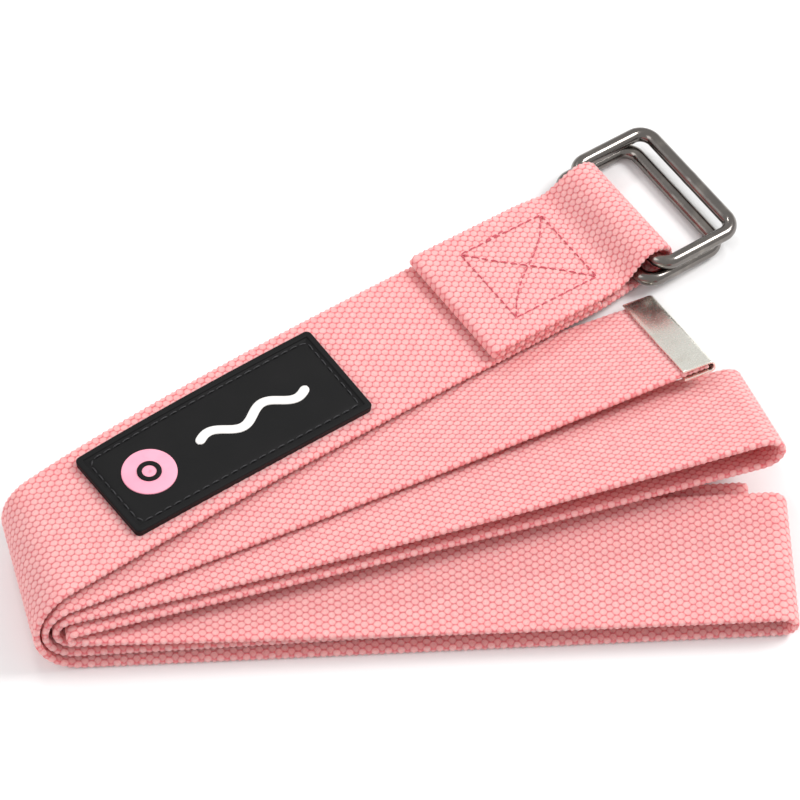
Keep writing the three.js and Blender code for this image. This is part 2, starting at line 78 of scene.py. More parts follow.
class Link:
    """An output in a material's node tree. Reckoning with it adds the Math nodes."""

    def __init__(self, tree, socket=None):
        self.tree = tree
        self.socket = socket

    def node(self, kind, settings=None, inputs=None, output=0):
        """A new node. Its settings are set first, then its sockets from values or links."""
        made = self.tree.nodes.new(kind)
        for name, value in (settings or {}).items():
            setattr(made, name, value)
        for key, value in (inputs or {}).items():
            if isinstance(value, Link):
                self.tree.links.new(value.socket, made.inputs[key])
            else:
                made.inputs[key].default_value = value
        return Link(self.tree, made.outputs[output] if made.outputs else None)

    def math(self, operation, *values):
        return self.node("ShaderNodeMath", {"operation": operation}, dict(enumerate(values)))

    def __add__(self, other):
        return self.math("ADD", self, other)

    def __sub__(self, other):
        return self.math("SUBTRACT", self, other)

    def __rsub__(self, other):
        return self.math("SUBTRACT", other, self)

    def __mul__(self, other):
        return self.math("MULTIPLY", self, other)

    def squared_over(self, scale):
        """The square of this over a scale."""
        part = self * (1 / scale)
        return part * part

    __radd__ = __add__
    __rmul__ = __mul__

    def step(self, low, high):
        """0 below low and 1 above high, with a smooth rise between."""
        settings = {"interpolation_type": "SMOOTHSTEP"}
        return self.node("ShaderNodeMapRange", settings, {0: self, 1: low, 2: high})

    def blend(self, low, high):
        """The colour low where this is 0, and high where it is 1."""
        return self.node("ShaderNodeMix", {"data_type": "RGBA"}, {0: self, 6: low, 7: high}, 2)

    def noise(self, scale, detail=2.0, where=None):
        where = where or self.node("ShaderNodeTexCoord", output="Object")
        inputs = {"Vector": where, "Scale": scale, "Detail": detail, "Roughness": 0.55}
        return self.node("ShaderNodeTexNoise", inputs=inputs)

    def bump(self, distance, strength=1.0):
        """This height, times distance in metres, as a normal."""
        inputs = {"Height": self, "Distance": distance, "Strength": strength}
        return self.node("ShaderNodeBump", inputs=inputs)

    def surface(self, inputs):
        """Ends the tree in a Principled shader with these sockets."""
        shader = self.node("ShaderNodeBsdfPrincipled", inputs=inputs)
        self.node("ShaderNodeOutputMaterial", inputs={"Surface": shader})


def screen_colour(red, green, blue):
    """The shader's colour for screen values from 0 to 255."""
    return tuple(((value / 255 + 0.055) / 1.055) ** 2.4 for value in (red, green, blue)) + (1,)


def new_material(name):
    """An empty material, and the start of its node tree."""
    material = bpy.data.materials.new(name)
    material.use_nodes = True
    material.node_tree.nodes.clear()
    return material, Link(material.node_tree)


def new_piece(name, points, faces, material, body, replaced):
    """A smooth mesh that rides on a body and stands for CAD nodes."""
    mesh = bpy.data.meshes.new(name)
    mesh.from_pydata(np.asarray(points).tolist(), [], [list(map(int, face)) for face in faces])
    mesh.polygons.foreach_set("use_smooth", [True] * len(mesh.polygons))
    mesh.materials.append(material)
    made = bpy.data.objects.new(name, mesh)
    bpy.context.scene.collection.objects.link(made)
    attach(made, body)
    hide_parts(*replaced)
    return made


def grid_faces(rows, columns, round_rows=False, round_columns=False):
    """Quads over rows of points, joined round where asked."""
    i, j = np.meshgrid(np.arange(rows if round_rows else rows - 1),
                       np.arange(columns if round_columns else columns - 1), indexing="ij")
    below, beside = (i + 1) % rows, (j + 1) % columns
    quads = [i * columns + j, i * columns + beside, below * columns + beside, below * columns + j]
    return np.stack([q.ravel() for q in quads], axis=1)


def rounded_rectangle(length, width, radius, corner_steps, side_step):
    """A closed path round the origin, with points along its straight sides as well."""
    path = []
    for corner in range(4):
        sx = 1 if corner in (0, 3) else -1
        sy = 1 if corner < 2 else -1
        for i in range(corner_steps + 1):
            angle = math.pi / 2 * (corner + i / corner_steps)
            path.append((sx * (length / 2 - radius) + radius * math.cos(angle),
                         sy * (width / 2 - radius) + radius * math.sin(angle)))
    dense = []
    for (x0, y0), (x1, y1) in zip(path, path[1:] + path[:1]):
        parts = max(1, round(math.hypot(x1 - x0, y1 - y0) / side_step))
        dense += [(x0 + (x1 - x0) * k / parts, y0 + (y1 - y0) * k / parts) for k in range(parts)]
    return np.array(dense)


def ring_points(bar):
    """The wire round its path, a little swollen at the weld in the middle of its far bar."""
    path = rounded_rectangle(ring_reach, INNER_ACROSS + WIRE, CORNER, CORNER_STEPS, 0.001)
    tangent = np.roll(path, -1, axis=0) - np.roll(path, 1, axis=0)
    tangent /= np.linalg.norm(tangent, axis=1)[:, None]
    outwards = np.column_stack([tangent[:, 1], -tangent[:, 0]])
    weld = np.where(path[:, 0] > 0, np.exp(-((path[:, 1] / WELD_LENGTH) ** 2)), 0)
    radius = WIRE / 2 + WELD_SWELL * weld
    angle = np.arange(WIRE_SIDES) * 2 * math.pi / WIRE_SIDES
    flat = path[:, None] + outwards[:, None] * (radius[:, None] * np.cos(angle))[..., None]
    height = radius[:, None] * np.sin(angle)
    x = flat[..., 0] + ring_reach / 2
    points = np.stack([bar[0] + x * math.cos(ring_tilt) + height * math.sin(ring_tilt),
                       bar[1] + flat[..., 1],
                       bar[2] - x * math.sin(ring_tilt) + height * math.cos(ring_tilt)], axis=-1)
    return points.reshape(-1, 3), grid_faces(len(path), WIRE_SIDES, True, True)


black_nickel, start = new_material("black_nickel")
polish = start.noise(900, 3)
wear = start.noise(160, 4).step(0.5, 0.72)
start.surface({
    "Base Color": wear.blend(screen_colour(122, 117, 113), screen_colour(142, 136, 130)),
    "Metallic": 1.0,
    "Roughness": 0.14 + 0.1 * polish,
    "Normal": (polish + 2 * start.noise(260, 2)).bump(0.00001, 0.5),
})
for body, node, bar in (("lower_ring", "ring_lower", lower_bar), ("upper_ring", "ring_upper", upper_bar)):
    points, faces = ring_points(bar)
    new_piece(body + "_wire", points, faces, black_nickel, body, [node])


# ---- the webbing ----
# One length of heavy cotton webbing, plain woven, with its warp standing out as rows of
# oval nubs. It is folded in half three times and laid down as a fan. The ring end is
# turned back round the rings and its raw end tucked under, the other end is in the tip.

WEB_WIDTH = 0.038
WEB_THICK = 0.0020
LAYER = WEB_THICK + 0.0003  # from one layer's middle to the next
HEM_LENGTH = 0.042
HEM_TUCK = 0.034
LOOP_RISE = 0.012
BAR_BACK = 0.0035
LOOP_SQUEEZE = 0.0032  # how much narrower the webbing is drawn where it passes the rings
SQUEEZE_LENGTH = 0.020
BAR_CLEAR = WIRE / 2 + 0.0003 + WEB_THICK / 2
SLANT_LENGTH = 0.025
TIP_LENGTH = 0.009
TIP_SHEET = 0.0005
FIT = 0.0003
WEB_PINCHED = 0.0016

NUB_PITCH = 0.0033  # from nub to nub along a warp yarn
YARN_PITCH = 0.00208  # from one warp yarn to the next but one
NUB_REACH = 0.00105  # half a nub's length
NUB_SPREAD = 0.00100  # half its width
NUB_DEPTH = 0.00028
PLY_PITCH = 0.00042  # from one twist of a yarn to the next
SELVEDGE = 0.0016  # the bound edge, which is thinner and scalloped by the turning weft
SCALLOP = 0.00020
EDGE_ROUND = 0.0009  # how far in from the edge the webbing's faces round off
RUN_STEPS = 240
FOLD_STEPS = 58
BEND_REACH = 0.007  # how far from a bend the closer lines go on
INSIDE_STEPS = 11
SELVEDGE_SINK = 0.0001  # how much lower its faces are than a nub's top

# Each run goes from the left stack to the right: its heading in degrees, its length, and
# for its near and its far edge four heights, in layers, that guide a cubic curve.
RUNS = {
    "ring": (0, 0.1815, (10.1, 8.2, 4.7, 0.435), (7.6, 9.2, 4.5, 0.435)),
    "tip": (-11.9, 0.1678, (8.7, 7.8, 7.4, 7.9), (6.5, 5.0, 1.5, 0.85)),
    "short_top": (-21.5, 0.181, (7.4, 7.4, 8.9, 11.4), (5.45, 4.4, 3.2, 4.2)),
    "short_bottom": (-20.8, 0.181, (6.1, 6.4, 6.2, 6.9), (4.45, 3.7, 2.3, 0.45)),
    "outer_top": (-33.3, 0.182, (4.7, 3.5, 3.45, 3.6), (3.45, 3.45, 3.5, 3.8)),
    "inner_top": (-32.1, 0.176, (3.25, 2.45, 2.45, 2.45), (2.45,) * 4),
    "inner_bottom": (-31.8, 0.177, (1.83, 1.44, 1.44, 1.44), (1.44,) * 4),
    "outer_bottom": (-33, 0.1835, (0.435,) * 4, (0.435,) * 4),
}
ROUTE = ["ring", "outer_bottom", "outer_top", "short_bottom", "short_top", "inner_top", "inner_bottom", "tip"]

top_start = np.array([lower_bar[0] - RUNS["ring"][1] + BAR_BACK, lower_bar[1]])


def along(heading):
    """The direction of a heading, seen from above."""
    return np.array([math.cos(math.radians(heading)), math.sin(math.radians(heading))])


def across(heading):
    """The direction across a run, from its near edge to its far edge."""
    return along(heading + 90)


def smooth(t):
    """A smooth rise from 0 to 1."""
    s = np.clip(t, 0, 1)
    return s * s * (3 - 2 * s)


def width_at(x):
    """The webbing's width at a distance along the top run."""
    return WEB_WIDTH - LOOP_SQUEEZE * smooth((x - RUNS["ring"][1]) / SQUEEZE_LENGTH + 1)


def edge_height(controls, s):
    """The height of a run's edge, from its four control heights."""
    a, b, c, d = controls
    t = 1 - s
    return LAYER * (a * t**3 + 3 * b * t * t * s + 3 * c * t * s * s + d * s**3)


def cross_lines(middle, direction, near_z, far_z, length, ahead, lead=0.0):
    """The ends of lines across the webbing. Their far ends are ahead of the near ones by lead."""
    flat = np.sqrt(length**2 - (far_z - near_z) ** 2 - np.square(lead))
    half = direction * (flat / 2)[:, None] + ahead * (np.zeros_like(flat) + lead)[:, None] / 2
    return np.column_stack([middle - half, near_z]), np.column_stack([middle + half, far_z])


def fold_of(i):
    """The fold after the run ROUTE[i]: side, axis, slant, drift and the edges' heights."""
    from_heading, _, *from_edges = RUNS[ROUTE[i]]
    to_heading, _, *to_edges = RUNS[ROUTE[i + 1]]
    sign = -1 if i % 2 == 0 else 1
    at = 0 if sign < 0 else 1
    axis = across((from_heading + to_heading) / 2)
    slant = math.radians((from_heading - to_heading) / 2)
    drift = sign * along(from_heading) @ axis / math.cos(slant)
    heights = [[edge_height(edge, at) for edge in edges] for edges in (from_edges, to_edges)]
    radius = abs(sum(heights[0]) - sum(heights[1])) / 4
    return sign, at, axis, slant, drift, heights, radius


starts = [top_start]
for i in range(len(ROUTE) - 1):
    heading, length = RUNS[ROUTE[i]][:2]
    next_heading, next_length = RUNS[ROUTE[i + 1]][:2]
    sign, at, axis, slant, drift, heights, radius = fold_of(i)
    meet = starts[i] + along(heading) * length * at + axis * drift * math.pi * radius
    starts.append(meet - along(next_heading) * next_length * at)


def run_lines(i):
    """Lines across a run. Near its folds they turn parallel to the folds' axes."""
    heading, length, near_edge, far_edge = RUNS[ROUTE[i]]
    before = (RUNS[ROUTE[i - 1]][0] - heading) / 2 if i > 0 else 0
    after = (RUNS[ROUTE[i + 1]][0] - heading) / 2 if i + 1 < len(ROUTE) else 0
    leftwards = i % 2 == 0
    turn_left, turn_right = (after, before) if leftwards else (before, after)
    s = np.linspace(0, 1, RUN_STEPS + 1)
    s = s[::-1] if leftwards else s
    x = s * length
    turn = turn_left * (1 - smooth(x / SLANT_LENGTH)) + turn_right * (1 - smooth((length - x) / SLANT_LENGTH))
    turn = np.radians(turn)
    ahead = along(heading)
    direction = np.cos(turn)[:, None] * across(heading) - np.sin(turn)[:, None] * ahead
    middle = starts[i] + x[:, None] * ahead
    width = width_at(x) if i == 0 else WEB_WIDTH
    near, far = cross_lines(middle, direction, edge_height(near_edge, s), edge_height(far_edge, s),
                            width / np.cos(turn), ahead)
    return near, far, np.tan(turn) * (1 if leftwards else -1)


def fold_lines(i):
    """Lines round the fold after a run, between the two runs' own lines."""
    sign, at, axis, slant, drift, heights, radius = fold_of(i)
    heading, length = RUNS[ROUTE[i]][:2]
    (near_from, far_from), (near_to, far_to) = heights
    near_radius, far_radius = abs(near_from - near_to) / 2, abs(far_from - far_to) / 2
    turn = np.linspace(0, math.pi, FOLD_STEPS + 2)[1:-1]
    bulge = sign * along(heading - math.degrees(slant))
    middle = starts[i] + along(heading) * length * at + axis * (drift * radius * turn)[:, None]
    middle = middle + bulge * ((near_radius + far_radius) / 2 * np.sin(turn))[:, None]
    near_z = (near_from + near_to) / 2 + (near_from - near_to) / 2 * np.cos(turn)
    far_z = (far_from + far_to) / 2 + (far_from - far_to) / 2 * np.cos(turn)
    near, far = cross_lines(middle, axis, near_z, far_z, WEB_WIDTH / math.cos(slant), bulge,
                            (far_radius - near_radius) * np.sin(turn))
    return near, far, np.full(len(turn), sign * math.tan(slant))


def top_heights(x):
    """Heights of the top run's near and far edges at distances along it."""
    s = np.clip(np.asarray(x) / RUNS["ring"][1], 0, 1)
    return edge_height(RUNS["ring"][2], s), edge_height(RUNS["ring"][3], s)


upper_bar_x = upper_bar[0] - top_start[0]
bar_straight = (INNER_ACROSS + WIRE) / 2 - CORNER
inner_corner = CORNER - WIRE / 2
bent_part = max((WEB_WIDTH - LOOP_SQUEEZE) / 2 - bar_straight, 0)
bar_bend = inner_corner - math.sqrt(inner_corner**2 - bent_part**2)
loop_height = upper_bar[2] + BAR_CLEAR + bar_bend + FIT - max(top_heights(upper_bar_x))
loop_radius = loop_height / 2
bar_off_centre = loop_radius - BAR_CLEAR - bar_bend
loop_x = upper_bar_x - math.sqrt(bar_off_centre**2 - (bar_off_centre - FIT) ** 2)
hem_start = loop_x - LOOP_RISE - HEM_LENGTH


def hem_lines():
    """Lines from the raw end, round the hem's turned edge, over the bars and back to the top run."""
    edge = hem_start + LAYER / 2
    turn = np.linspace(0, math.pi, 40)[1:-1]
    rise = np.linspace(0, 1, 40)[1:]
    parts = [
        (np.linspace(edge + HEM_TUCK, edge, 60), np.full(60, LAYER)),
        (edge - LAYER / 2 * np.sin(turn), LAYER * (1.5 - np.cos(turn) / 2)),
        (np.linspace(edge, hem_start + HEM_LENGTH, 70), np.full(70, 2 * LAYER)),
        (loop_x - LOOP_RISE * (1 - rise), 2 * LAYER + (loop_height - 2 * LAYER) * smooth(rise)),
        (loop_x + loop_radius * np.sin(turn), loop_radius * (1 + np.cos(turn))),
    ]
    x = np.concatenate([part[0] for part in parts])
    height = np.concatenate([part[1] for part in parts])
    near_z, far_z = top_heights(x)
    middle = top_start + x[:, None] * along(0)
    near, far = cross_lines(middle, across(0), near_z + height, far_z + height, width_at(x), along(0))
    return near, far, np.zeros(len(x))


def unit(vector):
    """Vectors of length 1."""
    return vector / np.linalg.norm(vector, axis=-1, keepdims=True)


def strap_lines():
    """The near and far ends of lines across the whole webbing, how far each line is sheared
    along the webbing for its width, whether it is in a bend, and the direction into the tip."""
    hem = hem_lines()
    parts = [(*hem, np.full(len(hem[0]), True))]
    for i in range(len(ROUTE)):
        run = run_lines(i)
        parts.append((*run, np.full(len(run[0]), False)))
        if i + 1 < len(ROUTE):
            fold = fold_lines(i)
            parts.append((*fold, np.full(len(fold[0]), True)))
    near, far, shear, bent = (np.concatenate(values) for values in zip(*parts))
    ahead = unit((near[-1] + far[-1]) - (near[-11] + far[-11]))
    inside = np.linspace(0, 2 * FIT + TIP_LENGTH - TIP_SHEET - FIT, INSIDE_STEPS + 1)[1:]
    near = np.concatenate([near, near[-1] + inside[:, None] * ahead])
    far = np.concatenate([far, far[-1] + inside[:, None] * ahead])
    shear = np.append(shear, np.zeros(INSIDE_STEPS))
    return near, far, shear, np.append(bent, np.zeros(INSIDE_STEPS, bool)), ahead


near_ends, far_ends, shear, bent, tip_ahead = strap_lines()
middles = (near_ends + far_ends) / 2
reached = np.append(0, np.cumsum(np.linalg.norm(np.diff(middles, axis=0), axis=1)))
strap_length = reached[-1]

# Points across: four to each pair of yarns, then closer together round the bound edge.
half_width = WEB_WIDTH / 2
inner = np.arange(-33, 34) * YARN_PITCH / 4
edge_steps = half_width - np.array([0.0015, 0.0011, 0.0007, 0.0004, 0.00017, 0.00004])
columns = np.concatenate([-edge_steps[::-1], inner, edge_steps])
columns = np.concatenate([[-half_width], columns, [half_width]])

# Points along: four to each pair of nubs, and eight in the bends.
stations = np.arange(0, strap_length, NUB_PITCH / 8)
in_bend = np.abs(stations[:, None] - reached[bent][None]).min(axis=1) < BEND_REACH
stations = stations[in_bend | (np.arange(len(stations)) % 2 == 0)]
stations = np.append(stations, strap_length)

lines = near_ends[:, None] + (far_ends - near_ends)[:, None] * (0.5 + columns / WEB_WIDTH)[None, :, None]
along_lines = reached[:, None] + shear[:, None] * columns
middle_surface = np.stack([
    np.stack([np.interp(stations, along_lines[:, j], lines[:, j, k]) for k in range(3)], axis=-1)
    for j in range(len(columns))
], axis=1)
for _ in range(2):
    middle_surface[1:-1] = (middle_surface[:-2] + 2 * middle_surface[1:-1] + middle_surface[2:]) / 4
rulings = unit(np.gradient(middle_surface, axis=1))
normals = unit(np.cross(np.gradient(middle_surface, axis=0), rulings))

from_edge = half_width - np.abs(columns)
bound = 1 - smooth(from_edge / SELVEDGE)
rounding = np.sqrt(1 - (1 - np.clip(from_edge / EDGE_ROUND, 0, 1)) ** 2)
pinch = smooth((stations - strap_length + TIP_LENGTH + 0.001) / 0.001)[:, None]
scallops = SCALLOP * np.cos(4 * math.pi * stations / NUB_PITCH)[:, None] * bound * np.sign(columns)
middle_surface = middle_surface + rulings * scallops[..., None]


def to_nearest(x, pitch):
    """The distance from the nearest multiple of a pitch."""
    return np.abs((x + pitch / 2) % pitch - pitch / 2)


def off_nub():
    """0 in the middle of a nub and 1 at its rim. Every second row of nubs is half a pitch on."""
    a, b = to_nearest(stations, NUB_PITCH)[:, None], to_nearest(columns, YARN_PITCH)
    here = (a / NUB_REACH) ** 2 + (b / NUB_SPREAD) ** 2
    beside = ((NUB_PITCH / 2 - a) / NUB_REACH) ** 2 + ((YARN_PITCH / 2 - b) / NUB_SPREAD) ** 2
    return np.minimum(here, beside)


def half_thickness():
    """Half the webbing's thickness, with its nubs."""
    dome = 1 - np.clip(off_nub() / 1.1, 0, 1)
    thick = WEB_THICK / 2 - (WEB_THICK - WEB_PINCHED) / 2 * pinch
    return rounding * (thick - NUB_DEPTH * (1 - dome) * (1 - bound) - SELVEDGE_SINK * bound)


half_thick = half_thickness()[..., None]
front = middle_surface + normals * half_thick
back = middle_surface - normals * half_thick
skin = np.concatenate([front, back[:, -2:0:-1]], axis=1)
count = skin.shape[1]
faces = grid_faces(len(stations), count, False, True).tolist()
faces += [list(range(count))[::-1], [(len(stations) - 1) * count + k for k in range(count)]]

cotton, start = new_material("pink_cotton_webbing")
lengthwise = start.node("ShaderNodeAttribute", {"attribute_name": "lengthwise"}, output="Fac")
crosswise = start.node("ShaderNodeAttribute", {"attribute_name": "crosswise"}, output="Fac")
side = start.node("ShaderNodeAttribute", {"attribute_name": "side"}, output="Fac")
place = start.node("ShaderNodeCombineXYZ", inputs={0: lengthwise, 1: crosswise, 2: side * 0.1})
loose = start.noise(420, 2, place)
s = lengthwise + 0.0006 * (loose - 0.5)
v = crosswise + 0.0004 * (start.noise(380, 2, place) - 0.5)
from_nub = start.math("PINGPONG", s, NUB_PITCH / 2)
from_yarn = start.math("PINGPONG", v, YARN_PITCH / 2)
here = from_nub.squared_over(NUB_REACH) + from_yarn.squared_over(NUB_SPREAD)
beside = (NUB_PITCH / 2 - from_nub).squared_over(NUB_REACH)
beside = beside + (YARN_PITCH / 2 - from_yarn).squared_over(NUB_SPREAD)
rim = start.math("MINIMUM", here, beside)
dome = 1 - rim.step(0, 1.3)
# Painted shade: the colour is darkened in the rims and gaps between the nubs, where shade falls between them.
painted_gap_shade = rim.step(0.5, 1.2)
twist = start.math("SINE", (s * 0.8 + v) * (2 * math.pi / PLY_PITCH))
# Fine fibre noise: it roughens the bumps, and it also breaks up the painted highlight on the nub tops.
fluff_and_highlight = start.noise(5200, 3)
uneven = start.noise(260, 3, place)
pink = uneven.step(0.3, 0.7).blend(screen_colour(230, 152, 153), screen_colour(236, 165, 164))
# Painted highlight: the tops of the nubs are lightened towards a pale pink, as if lit.
pink = (dome * fluff_and_highlight.step(0.3, 0.75) * 0.6).blend(pink, screen_colour(246, 203, 198))
# Painted shade: the gaps between the nubs take a deep rose colour, standing in for shade.
colour = (painted_gap_shade * 0.85).blend(pink, screen_colour(212, 92, 100))
start.surface({
    "Base Color": colour,
    "Roughness": 0.9,
    "Subsurface Weight": 0.4,
    "Subsurface Radius": (1.0, 0.34, 0.32),
    "Subsurface Scale": 0.005,
    "Normal": (dome + 0.06 * twist + 0.16 * fluff_and_highlight).bump(0.00024, 0.9),
})
webbing = new_piece("folded_webbing", skin.reshape(-1, 3), faces, cotton,
                    "strap", ["webbing_strap"])
crossings = np.concatenate([columns, columns[-2:0:-1]])
sides = np.concatenate([np.ones(len(columns)), -np.ones(len(columns) - 2)])
for name, values in (
    ("lengthwise", np.repeat(stations[:, None], count, axis=1)),
    ("crosswise", np.repeat(crossings[None], len(stations), axis=0)),
    ("side", np.repeat(sides[None], len(stations), axis=0)),
):
    attribute = webbing.data.attributes.new(name, "FLOAT", "POINT")
    attribute.data.foreach_set("value", values.ravel().astype(np.float32))


# ---- the hem's sewing ----
# A box with a cross, lock-stitched in a deeper rose thread through both layers of the hem
# and the top run under it. The seam starts and ends in a short run of back stitches.

BOX_LENGTH = 0.027
BOX_WIDTH = 0.025
BOX_FROM_EDGE = 0.0108
HEM_STITCH = 0.0026
HEM_THREAD = 0.00042
STITCH_SINK = 0.00035
CROSS_SAGS = (0.0011, -0.0003)  # how far each arm of the cross strays from straight
BACK_STITCH_FROM = 0.0085
BACK_STITCH_LENGTH = 0.0065
BACK_STITCH_OFF = 0.0004  # how far beside the box's side it starts
BACK_STITCH_DRIFT = 0.0003
WEB_TOP = WEB_THICK / 2


def on_top_run(flat):
    """Points given along the top run, across it and above its middle surface, put in place."""
    flat = np.asarray(flat, float)

    def surface(x, y):
        near_z, far_z = top_heights(x)
        middle = top_start + x[:, None] * along(0)
        near, far = cross_lines(middle, across(0), near_z, far_z, WEB_WIDTH, along(0))
        return near + (far - near) * (0.5 + y / WEB_WIDTH)[:, None]

    x, y, probe = flat[:, 0], flat[:, 1], 0.0005
    forwards = surface(x + probe, y) - surface(x - probe, y)
    sideways = surface(x, y + probe) - surface(x, y - probe)
    return surface(x, y) + unit(np.cross(forwards, sideways)) * flat[:, 2:3]


def along_path(path, step):
    """Points at even steps along a path of corners."""
    path = np.asarray(path, float)
    reach = np.append(0, np.cumsum(np.linalg.norm(np.diff(path, axis=0), axis=1)))
    at = np.linspace(0, reach[-1], max(2, round(reach[-1] / step) + 1))
    return np.column_stack([np.interp(at, reach, path[:, k]) for k in range(path.shape[1])])


def stitches(paths, stitch, thread, level, sink, share=0.82):
    """Short humps of thread along flat paths, each diving into the cloth at both ends."""
    points, faces = [], []
    steps, ring = 8, 10
    for path in paths:
        ends = along_path(path, stitch)
        for a, b in zip(ends[:-1], ends[1:]):
            ahead = unit(b - a)
            aside = np.array([-ahead[1], ahead[0]])
            first = len(points)
            for i in range(steps + 1):
                t = i / steps
                lift = math.sin(math.pi * t) ** 0.6 if 0 < i < steps else 0.0
                size = thread / 2 * (0.55 + 0.45 * lift)
                middle = a + (b - a) * (0.5 + (t - 0.5) * share)
                height = level - sink + (sink + thread * 0.32) * lift
                for k in range(ring):
                    angle = 2 * math.pi * k / ring
                    flat = middle + aside * size * math.cos(angle)
                    points.append((flat[0], flat[1], height + size * math.sin(angle)))
            faces += (grid_faces(steps + 1, ring, False, True) + first).tolist()
            faces += [[first + k for k in range(ring)], [first + steps * ring + k for k in range(ring)][::-1]]
    return np.array(points), faces


box_x = hem_start + BOX_FROM_EDGE
box_corners = [(box_x, -BOX_WIDTH / 2), (box_x + BOX_LENGTH, -BOX_WIDTH / 2),
               (box_x + BOX_LENGTH, BOX_WIDTH / 2), (box_x, BOX_WIDTH / 2)]
bow = np.linspace(0, 1, 15)
box_paths = [box_corners[k:k + 1] + [box_corners[(k + 1) % 4]] for k in range(4)]
for first, last, sag in ((0, 2, CROSS_SAGS[0]), (3, 1, CROSS_SAGS[1])):
    a, b = np.array(box_corners[first]), np.array(box_corners[last])
    aside = unit(np.array([a[1] - b[1], b[0] - a[0]]))
    box_paths.append(a + (b - a) * bow[:, None] + aside * (sag * np.sin(2 * math.pi * bow))[:, None])
back_start = np.array([box_x + BACK_STITCH_FROM, BOX_WIDTH / 2 + BACK_STITCH_OFF])
box_paths.append(np.array([back_start, back_start + [BACK_STITCH_LENGTH, BACK_STITCH_DRIFT]]))

rose_thread, start = new_material("rose_thread")
ply = start.noise(3400, 2)
start.surface({
    "Base Color": ply.step(0.3, 0.7).blend(screen_colour(176, 62, 78), screen_colour(222, 112, 124)),
    "Roughness": 0.7,
    "Normal": ply.bump(0.00005, 0.8),
})
points, faces = stitches(box_paths, HEM_STITCH, HEM_THREAD, 2 * LAYER + WEB_TOP, STITCH_SINK)
new_piece("hem_box_stitches", on_top_run(points), faces, rose_thread,
          "strap", ["hem_stitching"])


# ---- the metal tip ----
# A strip of bright nickel plated steel, folded over the cut end of the webbing and pressed
# flat, open at both edges. Its cut edges are tumbled round.

TIP_OVERHANG = 0.0005
TIP_ROUND = 0.00016  # radius of its side edges
TIP_DENT = 0.00006

tip_across = unit(far_ends[-1] - near_ends[-1])
tip_up = unit(np.cross(tip_ahead, tip_across))
tip_forward = np.cross(tip_across, tip_up)
tip_middle = (near_ends[-1] + far_ends[-1]) / 2
tip_inside = WEB_PINCHED / 2 + FIT / 2
tip_outside = WEB_PINCHED / 2 + FIT + TIP_SHEET
tip_reach = TIP_LENGTH - tip_outside


def tip_outline():
    """The sheet seen from its edge: x ahead, y up, with round lips at its two mouths."""
    def arc(centre, radius, first, last, steps):
        angle = np.radians(np.linspace(first, last, steps))
        return np.column_stack([centre[0] + radius * np.cos(angle), centre[1] + radius * np.sin(angle)])

    sheet = (tip_outside - tip_inside) / 2
    straight = np.linspace(-tip_reach, 0, 8)[1:-1]
    level = np.ones(len(straight))
    return np.concatenate([
        arc((-tip_reach, -tip_inside - sheet), sheet, 90, 270, 7),
        np.column_stack([straight, -tip_outside * level]),
        arc((0, 0), tip_outside, -90, 90, 19),
        np.column_stack([straight[::-1], tip_outside * level]),
        arc((-tip_reach, tip_inside + sheet), sheet, 90, 270, 7),
        np.column_stack([straight, tip_inside * level]),
        arc((0, 0), tip_inside, 90, -90, 19),
        np.column_stack([straight[::-1], -tip_inside * level]),
    ])


outline = tip_outline()
half_tip = half_width + TIP_OVERHANG
edge_rows = [(-half_tip, TIP_ROUND), (-half_tip + 0.00005, 0.00006), (-half_tip + TIP_ROUND, 0)]
inset = edge_rows + [(y, 0) for y in np.linspace(-half_tip + 0.001, half_tip - 0.001, 40)]
inset += [(-y, shrink) for y, shrink in edge_rows[::-1]]
turned = np.roll(outline, -1, axis=0) - np.roll(outline, 1, axis=0)
turned = unit(np.column_stack([turned[:, 1], -turned[:, 0]]))
rows = []
for y, shrink in inset:
    flat = outline - turned * shrink
    dent = TIP_DENT * np.sin(y * 420) * np.clip(-outline[:, 0] / tip_reach, 0, 1)
    rows.append(tip_middle + (flat[:, :1] + FIT) * tip_forward
                + (flat[:, 1:] + dent[:, None]) * tip_up + y * tip_across)
count = len(outline)
faces = grid_faces(len(rows), count, False, True).tolist()
faces += [list(range(count))[::-1], [(len(rows) - 1) * count + k for k in range(count)]]

bright_nickel, start = new_material("bright_nickel")
scratches = start.noise(700, 4)
dull = start.noise(120, 3).step(0.45, 0.75)
start.surface({
    "Base Color": dull.blend(screen_colour(248, 246, 236), screen_colour(232, 228, 216)),
    "Metallic": 1.0,
    "Roughness": 0.2 + 0.14 * scratches,
    "Normal": (scratches + start.noise(180, 2)).bump(0.00003, 0.5),
})
new_piece("pressed_tip", np.concatenate(rows), faces, bright_nickel, "strap", ["end_tip"])


# ---- the label ----
# A patch moulded in black rubber, with a raised border and a groove inside it that a
# black seam lies in. A pink disc with a small ring on it and a white wave are moulded on.

LABEL_LENGTH = 0.0735
LABEL_WIDTH = 0.0296
LABEL_THICK = 0.0012
LABEL_RIM = 0.0004
RIM_WIDTH = 0.0016
LABEL_CORNER = 0.0015
LABEL_FROM_FOLD = 0.0175
LABEL_SINK = 0.0001  # how deep the seam pulls its edge into the webbing
GROOVE = 0.0026  # from the label's edge to the middle of the groove
GROOVE_DEPTH = 0.00022
GROOVE_SPREAD = 0.00042
RIM_ROUND = 0.0003
RIM_FALL = 0.00025  # width of the slope from the border down to the panel
DISC_RADIUS = 0.0072
DISC_FROM_END = 0.0134
DISC_THICK = 0.00035
DOT_OUTER = 0.0032
DOT_INNER = 0.0019
MARK_THICK = 0.0003
WAVE_LENGTH = 0.034
WAVE_HEIGHT = 0.0062
WAVE_STROKE = 0.0026
WAVE_PERIODS = 2
WAVE_CENTRE = 0.0455
MARK_ROUND = 0.0001
MARK_SINK = 0.00008  # how deep a mark's foot is in what it is moulded on
LABEL_STITCH = 0.0029
LABEL_THREAD = 0.0004

label_x = LABEL_FROM_FOLD + LABEL_LENGTH / 2
panel_top = WEB_TOP + FIT + LABEL_THICK


